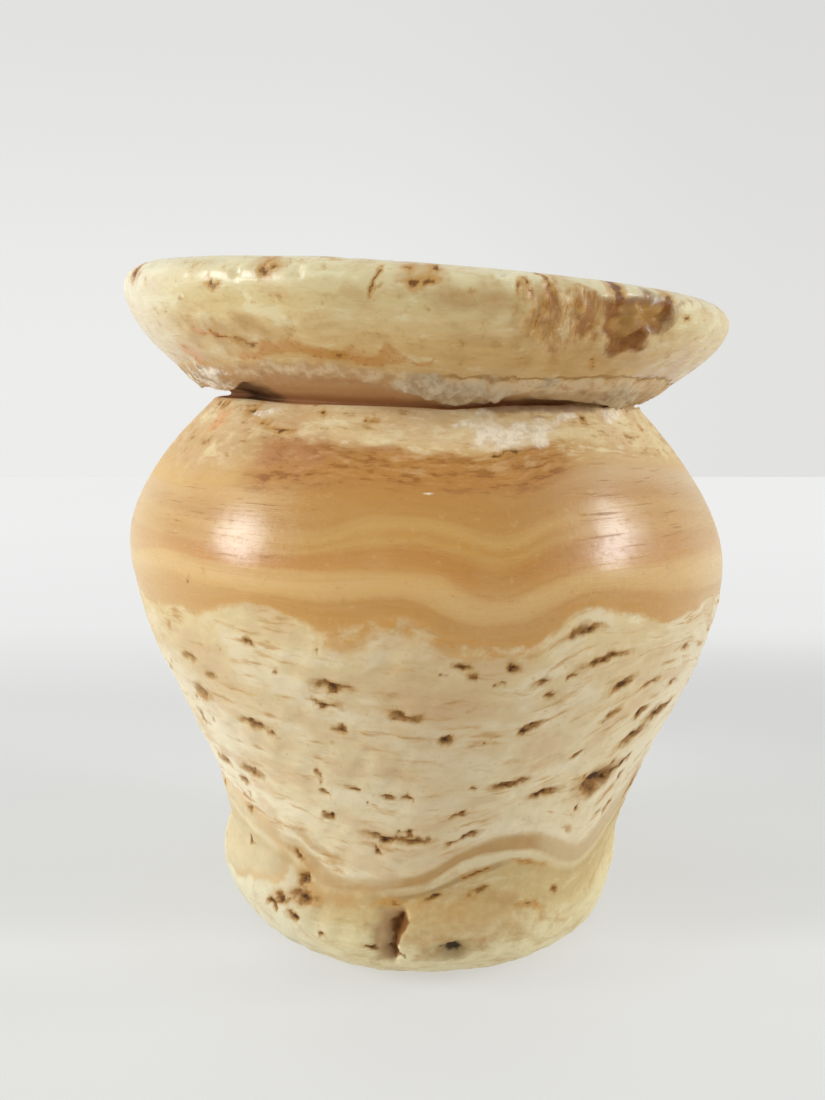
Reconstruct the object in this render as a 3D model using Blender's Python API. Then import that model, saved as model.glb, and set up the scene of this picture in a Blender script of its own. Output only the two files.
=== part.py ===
"""Kohl pot: a small eye-paint jar carved from one block of banded calcite alabaster.

A worn round foot carries a swelling body. A thin groove is cut round between the shoulder and the
rim, which flares out to a broad flat top with a drilled bore. The stone is cut by hand, so its levels
lean down to the right, the foot stands out to the left, and the rim and the foot are chipped.
Metres, +Z up, the front faces -Y, and the origin is the centre of the underside.
"""

import math

import bmesh
import bpy

MM = 0.001

# Foot, from the underside up
REST_RADIUS = 10.2 * MM
FOOT_RADIUS = 14.9 * MM
FOOT_ROUND_RISE = 5.3 * MM
WAIST_RADIUS = 14.6 * MM
WAIST_RISE = 2.6 * MM

# Body
WAIST_FLARE = 0.16
BELLY_RADIUS = 21.3 * MM
BELLY_RISE = 20.3 * MM
SHOULDER_EDGE_RADIUS = 15.2 * MM
SHOULDER_RISE = 10.5 * MM
SHOULDER_FLARE = -0.95

# Groove between the shoulder and the rim
GROOVE_HEIGHT = 0.6 * MM
GROOVE_DEPTH = 1.6 * MM

# Rim
RIM_EDGE_RADIUS = 15.6 * MM
RIM_FLARE = 1.5
RIM_RADIUS = 21.0 * MM
RIM_RISE = 5.8 * MM
LIP_RISE = 1.4 * MM
LIP_ROUND = 1.6 * MM

# Drilled bore
MOUTH_RADIUS = 6.5 * MM
MOUTH_ROUND = 0.5 * MM
FLOOR_RADIUS = 5.5 * MM
FLOOR_ROUND = 3.0 * MM
FLOOR_THICKNESS = 10.5 * MM

# How far the hand-cut levels fall for each unit to the right, and how far the foot is out of line
BODY_LEAN = 0.042
GROOVE_LEAN = 0.028
TOP_LEAN = 0.070
FOOT_SIDE_SHIFT = 0.6 * MM
FOOT_SET_BACK = 0.6 * MM

# Where the side shift is greatest and how far it reaches, as shares of the waist's height
SHIFT_MIDDLE = 0.5
SHIFT_REACH = 0.55

# Deep nick in the foot, left of the middle of its front
NICK_AZIMUTH = -9.0
NICK_WIDTH = 2.4 * MM
NICK_DEPTH = 3.4 * MM
NICK_RISE = 7.6 * MM
NICK_SKEW = 0.7 * MM

# Hollow knocked out of the foot's lower edge, right of the nick
HOLLOW_AZIMUTH = 8.0
HOLLOW_HEIGHT = 2.2 * MM
HOLLOW_WIDTH = 3.2 * MM
HOLLOW_TALL = 1.5 * MM
HOLLOW_DEPTH = 1.1 * MM

# Straight runs in each stretch of the section, from the foot to the bore's floor, and round the pot
FOOT_STEPS = 6
WAIST_STEPS = 3
BODY_STEPS = 9
SHOULDER_STEPS = 8
GROOVE_STEPS = 6
RIM_STEPS = 8
LIP_STEPS = 4
MOUTH_STEPS = 3
BORE_STEPS = 4
FLOOR_STEPS = 4
SEGMENTS = 84
HOLLOW_SUBDIVISIONS = 2

# Smallest height that counts as off a flat, distance at which the spun poles merge, and crease angle
FLAT_TOLERANCE = 0.01 * MM
MERGE_DISTANCE = 0.001 * MM
SHARP_ANGLE = 40.0

CALCITE_COLOUR = (0.80, 0.62, 0.40, 1.0)
CALCITE_ROUGHNESS = 0.35

FOOT_HEIGHT = FOOT_ROUND_RISE
WAIST_HEIGHT = FOOT_HEIGHT + WAIST_RISE
BELLY_HEIGHT = WAIST_HEIGHT + BELLY_RISE
SHOULDER_HEIGHT = BELLY_HEIGHT + SHOULDER_RISE
RIM_EDGE_HEIGHT = SHOULDER_HEIGHT + GROOVE_HEIGHT
LIP_HEIGHT = RIM_EDGE_HEIGHT + RIM_RISE
TOP_HEIGHT = LIP_HEIGHT + LIP_RISE

# How far the middles of the worn places lie from the edges that they spoil
BREAK_ABOVE_RIM_EDGE = 0.3 * MM
FLAKE_BELOW_TOP = 2.4 * MM
CHIPS_BELOW_TOP = 3.0 * MM
CREASE_BELOW_WAIST = 0.7 * MM
SWELLING_BELOW_FOOT = 0.5 * MM

# Worn and broken places: azimuth and half width in degrees, height, half height and depth
WEAR = {
    "rim edge broken away": (-21.0, 19.0, RIM_EDGE_HEIGHT + BREAK_ABOVE_RIM_EDGE, 1.5 * MM, 1.1 * MM),
    "flake off the rim": (36.0, 11.0, TOP_HEIGHT - FLAKE_BELOW_TOP, 2.6 * MM, 0.5 * MM),
    "rim chipped beside it": (21.0, 10.0, TOP_HEIGHT - CHIPS_BELOW_TOP, 2.6 * MM, 0.2 * MM),
    "shoulder edge worn": (-50.0, 35.0, SHOULDER_HEIGHT, 1.4 * MM, 0.5 * MM),
    "crease over the foot": (-20.0, 60.0, WAIST_HEIGHT - CREASE_BELOW_WAIST, 1.6 * MM, 0.25 * MM),
    "swelling of the foot": (-75.0, 40.0, FOOT_HEIGHT - SWELLING_BELOW_FOOT, 3.4 * MM, -0.3 * MM),
}
WEAR_FADE = 3.8 * MM


def clear_scene():
    """Removes every object that is already in the scene."""
    for item in list(bpy.data.objects):
        bpy.data.objects.remove(item)


def smooth(share):
    """0 to 1 with level ends."""
    share = min(1.0, max(0.0, share))
    return share * share * (3.0 - 2.0 * share)


def flowing_line(start, end, start_flare, end_flare, steps):
    """Points after start up to end on the cubic with the given radius change per height at each end."""
    (r0, z0), (r1, z1) = start, end
    rise = z1 - z0
    points = []
    for i in range(1, steps + 1):
        t = i / steps
        r = r0 * (2 * t**3 - 3 * t**2 + 1) + r1 * (3 * t**2 - 2 * t**3)
        r += rise * (start_flare * (t**3 - 2 * t**2 + t) + end_flare * (t**3 - t**2))
        points.append((r, z0 + rise * t))
    return points


def quarter_round(centre, across, up, start, turn, steps):
    """Points after the first on a quarter of an ellipse, from the angle start, turning left or right."""
    points = []
    for i in range(1, steps + 1):
        a = start + turn * (math.pi / 2) * i / steps
        points.append((centre[0] + across * math.cos(a), centre[1] + up * math.sin(a)))
    return points


def groove_line(steps):
    """Points inside the groove, half an ellipse deep, between the shoulder's and the rim's edges."""
    points = []
    for i in range(1, steps):
        a = math.pi * i / steps
        share = (1 - math.cos(a)) / 2
        edge = SHOULDER_EDGE_RADIUS + (RIM_EDGE_RADIUS - SHOULDER_EDGE_RADIUS) * share
        points.append((edge - GROOVE_DEPTH * math.sin(a), SHOULDER_HEIGHT + GROOVE_HEIGHT * share))
    return points


def outline():
    """The section as (radius, height), from the underside up the outside and down the bore."""
    points = [(0.0, 0.0), (REST_RADIUS, 0.0)]
    foot_round = (REST_RADIUS, FOOT_HEIGHT)
    points += quarter_round(foot_round, FOOT_RADIUS - REST_RADIUS, FOOT_HEIGHT, -math.pi / 2, 1, FOOT_STEPS)
    points += flowing_line(points[-1], (WAIST_RADIUS, WAIST_HEIGHT), 0, 0, WAIST_STEPS)
    points += flowing_line(points[-1], (BELLY_RADIUS, BELLY_HEIGHT), WAIST_FLARE, 0, BODY_STEPS)
    shoulder_edge = (SHOULDER_EDGE_RADIUS, SHOULDER_HEIGHT)
    points += flowing_line(points[-1], shoulder_edge, 0, SHOULDER_FLARE, SHOULDER_STEPS)
    points += groove_line(GROOVE_STEPS)
    points.append((RIM_EDGE_RADIUS, RIM_EDGE_HEIGHT))
    points += flowing_line(points[-1], (RIM_RADIUS, LIP_HEIGHT), RIM_FLARE, 0, RIM_STEPS)
    points += quarter_round((RIM_RADIUS - LIP_ROUND, LIP_HEIGHT), LIP_ROUND, LIP_RISE, 0, 1, LIP_STEPS)
    mouth_round = (MOUTH_RADIUS + MOUTH_ROUND, TOP_HEIGHT - MOUTH_ROUND)
    points.append((mouth_round[0], TOP_HEIGHT))
    points += quarter_round(mouth_round, MOUTH_ROUND, MOUTH_ROUND, math.pi / 2, 1, MOUTH_STEPS)
    bore_end = (FLOOR_RADIUS, FLOOR_THICKNESS + FLOOR_ROUND)
    points += flowing_line(points[-1], bore_end, 0, 0, BORE_STEPS)
    points += quarter_round((0.0, bore_end[1]), FLOOR_RADIUS, FLOOR_ROUND, 0, -1, FLOOR_STEPS)
    return points


def lean_at(z):
    """Fall of the levels per unit to the right: none at rest, then the body's, the groove's, the top's."""
    if z < BELLY_HEIGHT:
        return BODY_LEAN * smooth(z / FOOT_HEIGHT)
    if z < RIM_EDGE_HEIGHT:
        share = smooth((z - BELLY_HEIGHT) / (RIM_EDGE_HEIGHT - BELLY_HEIGHT))
        return BODY_LEAN + (GROOVE_LEAN - BODY_LEAN) * share
    share = (z - RIM_EDGE_HEIGHT) / (TOP_HEIGHT - RIM_EDGE_HEIGHT)
    return GROOVE_LEAN + (TOP_LEAN - GROOVE_LEAN) * share**1.5


def foot_offset(z):
    """Sideways and backward offset of a level of the foot, dying out above the waist."""
    side = max(0.0, 1.0 - ((z / WAIST_HEIGHT - SHIFT_MIDDLE) / SHIFT_REACH) ** 2) ** 2
    return -FOOT_SIDE_SHIFT * side, FOOT_SET_BACK * (1.0 - smooth(z / WAIST_HEIGHT))


def worn_depth(azimuth, z):
    """Stone lost at a place on the outside: a sum of smooth dents that fade out at their edges."""
    lost = 0.0
    for mark_azimuth, half_width, height, half_height, depth in WEAR.values():
        turn = (azimuth - mark_azimuth + 180.0) % 360.0 - 180.0
        reach = (turn / half_width) ** 2 + ((z - height) / half_height) ** 2
        lost += depth * max(0.0, 1.0 - reach) ** 2
    return lost


def place(point):
    """Moves a point of the turned form to its place in the hand-cut one."""
    r = math.hypot(point.x, point.y)
    z = point.z
    azimuth = math.degrees(math.atan2(point.x, -point.y))
    outside = smooth((r - MOUTH_RADIUS - MOUTH_ROUND) / WEAR_FADE)
    on_a_flat = z < FLAT_TOLERANCE or z > TOP_HEIGHT - FLAT_TOLERANCE
    if r > 0 and not on_a_flat:
        r -= outside * worn_depth(azimuth, z)
    side, back = foot_offset(z)
    turn = math.radians(azimuth)
    x = r * math.sin(turn) + side
    y = -r * math.cos(turn) + back
    return x, y, z - lean_at(z) * x


def make_pot():
    """Spins the outline once round, closes its poles and gives it the hand-cut form."""
    bm = bmesh.new()
    verts = [bm.verts.new((r, 0.0, z)) for r, z in outline()]
    edges = [bm.edges.new(pair) for pair in zip(verts, verts[1:])]
    bmesh.ops.spin(
        bm,
        geom=verts + edges,
        cent=(0, 0, 0),
        axis=(0, 0, 1),
        angle=2 * math.pi,
        steps=SEGMENTS,
        use_merge=True,
    )
    bmesh.ops.remove_doubles(bm, verts=bm.verts, dist=MERGE_DISTANCE)
    for vert in bm.verts:
        vert.co = place(vert.co)
    bmesh.ops.recalc_face_normals(bm, faces=bm.faces)
    return finish_object("kohl_pot", bm)


def finish_object(name, bm):
    """Puts the mesh into the scene as an object of that name."""
    mesh = bpy.data.meshes.new(name)
    bm.to_mesh(mesh)
    bm.free()
    item = bpy.data.objects.new(name, mesh)
    bpy.context.collection.objects.link(item)
    return item


def around(azimuth, radius, height):
    """The point at that azimuth, distance from the axis and height."""
    turn = math.radians(azimuth)
    return radius * math.sin(turn), -radius * math.cos(turn), height


def make_nick_cutter():
    """A three-sided bar with its edge inwards, leaning out to run off the foot's surface at the top."""
    degrees_per_length = math.degrees(1.0 / FOOT_RADIUS)
    half_turn = NICK_WIDTH * degrees_per_length
    front_radius = FOOT_RADIUS + NICK_DEPTH
    skewed = NICK_AZIMUTH + NICK_SKEW * degrees_per_length
    bm = bmesh.new()
    rings = []
    for height, edge_radius in ((0.0, FOOT_RADIUS - NICK_DEPTH), (NICK_RISE, FOOT_RADIUS)):
        corners = [
            around(NICK_AZIMUTH - half_turn, front_radius, height),
            around(NICK_AZIMUTH + half_turn, front_radius, height),
            around(skewed, edge_radius, height),
        ]
        rings.append([bm.verts.new(corner) for corner in corners])
    low, high = rings
    bm.faces.new(low)
    bm.faces.new(high)
    for i in range(3):
        j = (i + 1) % 3
        bm.faces.new((low[i], low[j], high[j], high[i]))
    bmesh.ops.recalc_face_normals(bm, faces=bm.faces)
    return finish_object("nick_cutter", bm)


def foot_radius_at(z):
    """Radius of the foot's rounded lower edge at a height."""
    share = 1.0 - z / FOOT_HEIGHT
    return REST_RADIUS + (FOOT_RADIUS - REST_RADIUS) * math.sqrt(max(0.0, 1.0 - share * share))


def make_hollow_cutter():
    """A flattened ball half sunk in the foot's lower edge."""
    bm = bmesh.new()
    bmesh.ops.create_icosphere(bm, subdivisions=HOLLOW_SUBDIVISIONS, radius=1.0)
    turn = math.radians(HOLLOW_AZIMUTH)
    radius = foot_radius_at(HOLLOW_HEIGHT)
    centre = around(HOLLOW_AZIMUTH, radius, HOLLOW_HEIGHT)
    for vert in bm.verts:
        across = vert.co.x * HOLLOW_WIDTH / 2
        out = vert.co.y * HOLLOW_DEPTH
        vert.co = (
            centre[0] + across * math.cos(turn) - out * math.sin(turn),
            centre[1] + FOOT_SET_BACK / 2 + across * math.sin(turn) + out * math.cos(turn),
            centre[2] + vert.co.z * HOLLOW_TALL / 2,
        )
    return finish_object("hollow_cutter", bm)


def cut(body, cutter):
    """Takes the cutter's shape out of the body and hides the cutter."""
    cutter.hide_render = True
    cutter.display_type = "WIRE"
    boolean = body.modifiers.new(cutter.name, "BOOLEAN")
    boolean.operation = "DIFFERENCE"
    boolean.solver = "EXACT"
    boolean.object = cutter


def calcite():
    """Creamy yellow polished calcite."""
    material = bpy.data.materials.new("calcite")
    material.use_nodes = True
    shader = material.node_tree.nodes["Principled BSDF"]
    shader.inputs["Base Color"].default_value = CALCITE_COLOUR
    shader.inputs["Roughness"].default_value = CALCITE_ROUGHNESS
    shader.inputs["Metallic"].default_value = 0.0
    return material


def main():
    clear_scene()
    pot = make_pot()
    cut(pot, make_nick_cutter())
    cut(pot, make_hollow_cutter())
    pot.data.shade_smooth()
    pot.data.set_sharp_from_angle(angle=math.radians(SHARP_ANGLE))
    pot.data.materials.append(calcite())


main()
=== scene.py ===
"""Kohl pot: the finished look of a small stone jar for eye paint.

One carved piece of banded calcite. Its surface is one grid of rings and columns: every ring is a
place along the turned section, every column an azimuth, 0 at the front and positive to the right.
Sizes are in millimetres and angles in degrees; the mesh is brought to metres at the very end.
"""

import math
from types import SimpleNamespace

import bpy
import numpy as np
from mathutils import Matrix


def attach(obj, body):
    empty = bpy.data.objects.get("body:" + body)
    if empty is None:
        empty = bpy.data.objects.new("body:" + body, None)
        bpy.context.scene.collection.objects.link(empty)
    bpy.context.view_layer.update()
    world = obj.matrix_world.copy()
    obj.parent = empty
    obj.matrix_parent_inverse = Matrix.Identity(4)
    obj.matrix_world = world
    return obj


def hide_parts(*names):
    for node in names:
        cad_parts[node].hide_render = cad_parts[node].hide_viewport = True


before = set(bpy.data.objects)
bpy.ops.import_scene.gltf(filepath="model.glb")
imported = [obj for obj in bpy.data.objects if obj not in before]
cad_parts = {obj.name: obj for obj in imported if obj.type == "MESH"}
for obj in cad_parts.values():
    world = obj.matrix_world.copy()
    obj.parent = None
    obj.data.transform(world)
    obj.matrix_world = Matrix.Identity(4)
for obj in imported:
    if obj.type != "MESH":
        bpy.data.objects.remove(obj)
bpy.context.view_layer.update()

MM = 0.001

# The turned section, the same sizes as the solid's
REST_RADIUS = 10.2
FOOT_RADIUS = 14.9
FOOT_HEIGHT = 5.3
WAIST_RADIUS = 14.6
WAIST_HEIGHT = FOOT_HEIGHT + 2.6
WAIST_FLARE = 0.16
BELLY_RADIUS = 21.3
BELLY_HEIGHT = WAIST_HEIGHT + 20.3
SHOULDER_RADIUS = 15.2
SHOULDER_HEIGHT = BELLY_HEIGHT + 10.5
SHOULDER_FLARE = -0.95
RIM_EDGE_RADIUS = 15.6
RIM_EDGE_HEIGHT = SHOULDER_HEIGHT + 0.6
RIM_FLARE = 1.5
RIM_RADIUS = 21.0
LIP_HEIGHT = RIM_EDGE_HEIGHT + 5.8
LIP_ROUND = 1.6
TOP_HEIGHT = LIP_HEIGHT + 1.4
MOUTH_RADIUS = 6.5
MOUTH_ROUND = 0.5
FLOOR_RADIUS = 5.5
FLOOR_THICKNESS = 10.5
FLOOR_ROUND = 3.0

# How far the hand-cut levels fall for each unit to the right, and how far the foot is out of line
BODY_LEAN = 0.042
GROOVE_LEAN = 0.028
TOP_LEAN = 0.070
FOOT_SIDE_SHIFT = 0.6
FOOT_SET_BACK = 0.6

# Where the sideways shift is greatest and how far it reaches, in shares of the waist's height
SHIFT_MIDDLE = 0.5
SHIFT_REACH = 0.55

# Rings in each stretch of the section, and columns round it
COLUMNS = 420
BASE_RINGS = 3
FOOT_RINGS = 30
WAIST_RINGS = 10
BODY_RINGS = 84
SHOULDER_RINGS = 34
GROOVE_RINGS = 14
RIM_RINGS = 30
LIP_RINGS = 8
TOP_RINGS = 8
MOUTH_RINGS = 3
BORE_RINGS = 8
FLOOR_RINGS = 4

# Spacing of the columns at the front, as a share of even spacing
FRONT_CLOSENESS = 0.68

# Angle between the places where a value is known round the pot, and the reach of its blur in such places
CIRCLE_STEP = 0.5
BLUR_STEPS = 12

# Value of a mark's field far outside the mark
FAR_OUTSIDE = -3.0

# Share of the surface's wear that the groove takes
GROOVE_WEAR = 0.15

# Highest level of the points that stand on the table, and lowest level of all others
ON_TABLE = 0.01
LEAST_LIFT = 0.02

# The groove's upper edge round the pot, where the rim's lower edge is broken or crusted over
GROOVE_TOP = (
    (-180, 39.35), (-100, 39.5), (-75, 39.55), (-54, 39.4), (-50, 39.6), (-44, 40), (-33, 40.1),
    (-17, 40.2), (-8, 40.2), (-6, 39.95), (-3, 39.75), (-1, 39.45), (1, 39.3), (3, 38.95), (6, 38.92),
    (9, 39.05), (13, 39.05), (16, 39.5), (18, 39.85), (21, 39.85), (23, 39.45), (29, 39.4), (34, 39.45),
    (40, 39.3), (50, 39), (60, 39), (75, 39.2), (110, 39.3), (150, 39.5),
)
GROOVE_DEPTHS = (
    (-180, 1.5), (-60, 1.6), (-42, 1.6), (-35, 1.1), (-27, 0.85), (-14, 0.75), (-5, 0.6), (7, 0.45),
    (12, 0.7), (17, 1.2), (25, 1.2), (30, 1.1), (36, 0.9), (46, 0.5), (75, 0.4), (100, 0.6), (125, 1.4),
)

# How much higher than its mean level the shoulder's upper edge lies round the pot
SHOULDER_EDGE_LIFT = (
    (-180, 0), (0, 0), (4, -0.08), (11, 0.08), (17, 0.2), (26, 0.27), (36, 0.25), (50, 0.12), (80, 0),
)

# Beds of the stone: the height each keeps in the layer pattern, and its real height round the pot
BEDS = (
    (0.0, ((0, 0.0),)),
    (8.2, (
        (-75, 9.7), (-60, 9.6), (-39, 8), (-28, 6.3), (-10, 7.2), (0, 7.7), (4, 8.4), (9, 9.1), (13, 9.4),
        (20, 10), (25, 9.7), (30, 9.3), (37, 8), (44, 7.8), (50, 8.3), (55, 9.4), (62, 11.2), (80, 11.2),
        (110, 9.2), (180, 8.4), (-140, 9.4), (-100, 8.6),
    )),
    (9.0, (
        (-75, 10.6), (-60, 10.6), (-39, 9), (-28, 7.1), (-11, 7.8), (-4, 8.3), (2, 8.9), (6, 9.8),
        (10, 10.5), (19, 11), (29, 10.4), (37, 8.9), (44, 8.6), (50, 9.2), (55, 10.5), (62, 12.5),
        (80, 12.2), (110, 10), (180, 9.2), (-140, 10.2), (-100, 9.4),
    )),
    (10.4, (
        (-75, 12), (-60, 12), (-39, 10.2), (-32, 9.9), (-27, 8.4), (-20, 8.2), (-8, 8.7), (-3, 9.2),
        (3, 10), (7, 10.9), (16, 12.2), (25, 12.3), (33, 11.3), (39, 10), (44, 9.9), (49, 11.6), (60, 14.5),
        (80, 14), (110, 11.5), (150, 10.2), (180, 10.6), (-140, 11.6), (-100, 10.8),
    )),
    (16.4, (
        (-51, 16.4), (-45, 15.4), (-33, 14.9), (-13, 15.7), (3, 16.2), (12, 16.4), (20, 16.9), (28, 17.8),
        (36, 19.4), (45, 20.6), (60, 21), (90, 18.5), (140, 16.2), (180, 16.8), (-120, 17.5), (-80, 18),
    )),
    (21.5, (
        (-58, 23.1), (-50, 22.3), (-43, 21), (-33, 20.7), (-20, 20.7), (-8, 21), (3, 21.3), (17, 21.5),
        (24, 22.4), (31, 23.7), (40, 24.5), (51, 24.6), (80, 22.5), (130, 21.3), (180, 21.8), (-120, 22),
        (-85, 23),
    )),
    (26.4, (
        (-60, 25.4), (-48, 25.9), (-40, 25.9), (-37, 26.4), (-34, 27), (-27, 27.4), (-24, 26.9),
        (-20, 26.6), (-17, 26), (-13, 26.1), (-9, 27.1), (-4, 27.3), (-1, 26.9), (3, 26.1), (9, 25.8),
        (15, 25.5), (18, 26.3), (23, 27.9), (27, 28.1), (30, 27.5), (36, 27), (42, 26.4), (51, 26.7),
        (57, 27.4), (80, 26.2), (110, 25.4), (135, 26.3), (170, 25.9), (-150, 26.6), (-115, 25.2),
        (-85, 25.8),
    )),
    (28.0, (
        (-63, 27.3), (-49, 28.1), (-31, 28), (-18, 28), (-7, 28.6), (-1, 28.4), (2, 27.6), (8, 27.2),
        (15, 27.6), (22, 28.8), (29, 29.1), (50, 28.3), (80, 27.8), (125, 27.2), (170, 28.3), (-140, 27.8),
        (-100, 27.1),
    )),
    (29.5, (
        (-66, 28.3), (-51, 29.4), (-40, 29.3), (-23, 29.4), (-8, 29.9), (1, 29.8), (5, 28.8), (11, 28.4),
        (17, 29.3), (25, 30.1), (57, 30.1), (85, 29.4), (125, 28.9), (170, 29.8), (-140, 29.2),
        (-100, 28.4),
    )),
    (31.0, (
        (-60, 30.4), (-21, 30.3), (-10, 31.4), (-1, 31.5), (5, 30.9), (12, 30.4), (20, 31.7), (28, 32),
        (44, 32), (75, 31.2), (120, 30.6), (180, 31.2), (-120, 30.9),
    )),
    (32.2, (
        (-60, 31.8), (-37, 31.4), (-21, 31.1), (-15, 31.4), (-11, 32.4), (-1, 32.4), (4, 32.1), (9, 31.4),
        (14, 31.4), (18, 32.3), (28, 33.3), (44, 33.6), (75, 32.6), (120, 31.8), (180, 32.4), (-120, 32.2),
    )),
    (34.8, (
        (-110, 33.6), (-80, 33.4), (-53, 33.4), (-36, 34.2), (-18, 34.8), (3, 34.5), (18, 34.8), (27, 35.5),
        (39, 35.9), (60, 35.2), (100, 34.6), (140, 35.2), (180, 34.9), (-145, 34.2),
    )),
    (36.6, (
        (-33, 36.8), (-10, 36.3), (7, 36.1), (25, 36.9), (47, 36.6), (90, 36.8), (180, 36.6), (-90, 36.9),
    )),
    (SHOULDER_HEIGHT, ((0, SHOULDER_HEIGHT),)),
    (TOP_HEIGHT, ((0, TOP_HEIGHT),)),
)

# Pits in the porous stone and the foot: azimuth, height, width, opening and depth
PITS = (
    (-16, 22.8, 1.8, 0.6, 0.35), (-18, 21.5, 1.5, 0.4, 0.2), (-4, 21.2, 1.6, 0.5, 0.4),
    (-35, 19, 2, 0.5, 0.35), (-16, 19.9, 0.8, 0.5, 0.25), (-49, 19.9, 1.5, 1.1, 0.5),
    (-43, 21.7, 0.7, 0.4, 0.25), (-48, 22.6, 1.3, 0.5, 0.2), (-52, 24.4, 0.7, 0.5, 0.2),
    (-31, 24.8, 0.6, 0.5, 0.3), (-55, 17.8, 0.9, 0.6, 0.25), (5, 24.6, 0.8, 0.4, 0.2),
    (13, 24.5, 0.8, 0.7, 0.3), (18, 23.5, 1.1, 0.5, 0.3), (18, 20.6, 1.3, 0.45, 0.3),
    (3, 19.7, 1, 0.6, 0.4), (25, 26.8, 2, 0.5, 0.2), (29, 24.8, 3, 0.45, 0.3), (34, 24.9, 1.4, 0.35, 0.15),
    (35, 22.9, 1.9, 0.6, 0.4), (51, 24.4, 1, 0.6, 0.3), (52, 21.9, 1.2, 0.5, 0.3),
    (35, 20.9, 1, 0.45, 0.25), (52, 19.8, 2.4, 0.5, 0.3), (45, 18.4, 2.2, 0.5, 0.35),
    (39, 15.3, 2.8, 1.1, 0.8), (16, 16.3, 2.1, 0.6, 0.45), (25, 15.3, 1.7, 0.6, 0.45),
    (-43, 14.6, 1.6, 0.6, 0.4), (-49, 13.4, 1, 0.5, 0.25), (-55, 14.4, 1.1, 0.6, 0.3),
    (-16, 15.5, 0.5, 0.3, 0.2), (-8, 15.1, 1, 0.4, 0.3), (-23, 13, 0.8, 0.6, 0.4),
    (-10, 11.8, 2.2, 0.5, 0.45), (-4, 11.8, 2.2, 0.45, 0.35), (8, 12.2, 1.8, 0.4, 0.3),
    (-54, 8.4, 0.5, 0.5, 0.2), (-35, 8.9, 0.7, 0.7, 0.4), (-33.5, 7.2, 0.9, 1, 0.5),
    (-32, 6.1, 1.9, 0.9, 0.7), (-39, 5.4, 1.1, 0.7, 0.45), (-42, 4.7, 0.9, 0.7, 0.4),
    (-34.5, 4.5, 0.8, 0.7, 0.4), (-26, 3.9, 0.5, 0.4, 0.2), (13, 7.8, 0.9, 0.5, 0.25),
    (1, 7.4, 1, 0.5, 0.3), (35.5, 7.1, 0.6, 0.5, 0.2), (-43.2, 27.87, 0.42, 0.34, 0.15),
    (-12.7, 28.1, 0.24, 0.2, 0.1), (2, 24, 0.3, 0.2, 0.1), (7, 21.8, 0.4, 0.25, 0.1),
    (10, 19.5, 0.4, 0.25, 0.1), (-44, 38, 0.5, 0.3, 0.2), (-63, 38.3, 0.5, 0.4, 0.2),
    (16, 36.4, 1.3, 0.4, 0.2), (13, 36.2, 0.5, 0.3, 0.15), (43, 22.4, 1.6, 0.4, 0.25),
    (44, 20.4, 1.4, 0.35, 0.2), (30, 18.2, 0.9, 0.3, 0.15), (47, 16.4, 1, 0.4, 0.2),
    (-13, 3.6, 0.6, 0.4, 0.15),
)
PIT_RELIEF = 0.45

# Seeded pits: how many, their heights, and how far round the front only fine pores are among them
SCATTERED_PITS = 120
SCATTER_HEIGHTS = (10.0, 25.5)
FRONT_WITHOUT_SCATTER = 58
FRONT_PORE_SIZE = 0.35

# Brown stains on the rim and foot: azimuth, height, width, height of the mark and depth
STAINS = (
    (-15.5, 41.5, 0.9, 0.3, 0.02), (-32.5, 37.1, 1.8, 0.35, 0.03), (-43, 37.9, 1.4, 0.5, 0.05),
    (-38, 37.4, 0.8, 0.35, 0.03), (-9.2, 6.95, 1.2, 0.35, 0.02), (-62, 45.7, 1.7, 0.9, 0.2),
    (-35.3, 44.9, 1.1, 0.35, 0.06), (-36.2, 45.1, 0.35, 0.6, 0.05), (-25.3, 45.75, 1, 0.8, 0.2),
    (-16, 46.3, 1.2, 0.12, 0.05), (-2.6, 45.3, 1, 0.6, 0.1), (-0.9, 45.5, 1, 0.35, 0.05),
    (-3.8, 46.1, 0.9, 0.25, 0.03), (0.4, 46.15, 0.8, 0.3, 0.03), (13, 45.4, 0.3, 0.8, 0.08),
    (48, 40.7, 0.5, 0.3, 0.1), (-41, 42.5, 1.6, 0.16, 0.02), (-37, 42.3, 2, 0.18, 0.02),
    (-32.5, 42.05, 1.8, 0.22, 0.02), (45.5, 44.6, 0.4, 0.35, 0.05), (-44, 44.2, 0.5, 0.2, 0.02),
    (28, 6.5, 1.5, 0.4, 0.04), (26, 9.7, 1.6, 0.3, 0.02), (-12, 37.9, 0.5, 0.3, 0.03),
    (36, 38.2, 0.5, 0.4, 0.04), (-58, 38.3, 0.7, 0.6, 0.05), (-24, 38.3, 0.6, 0.3, 0.03),
    (100, 44.5, 1.2, 0.8, 0.1), (-120, 45, 0.8, 1, 0.12), (165, 43.2, 1.5, 0.4, 0.05),
    (130, 46, 0.6, 0.8, 0.1),
)

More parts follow.
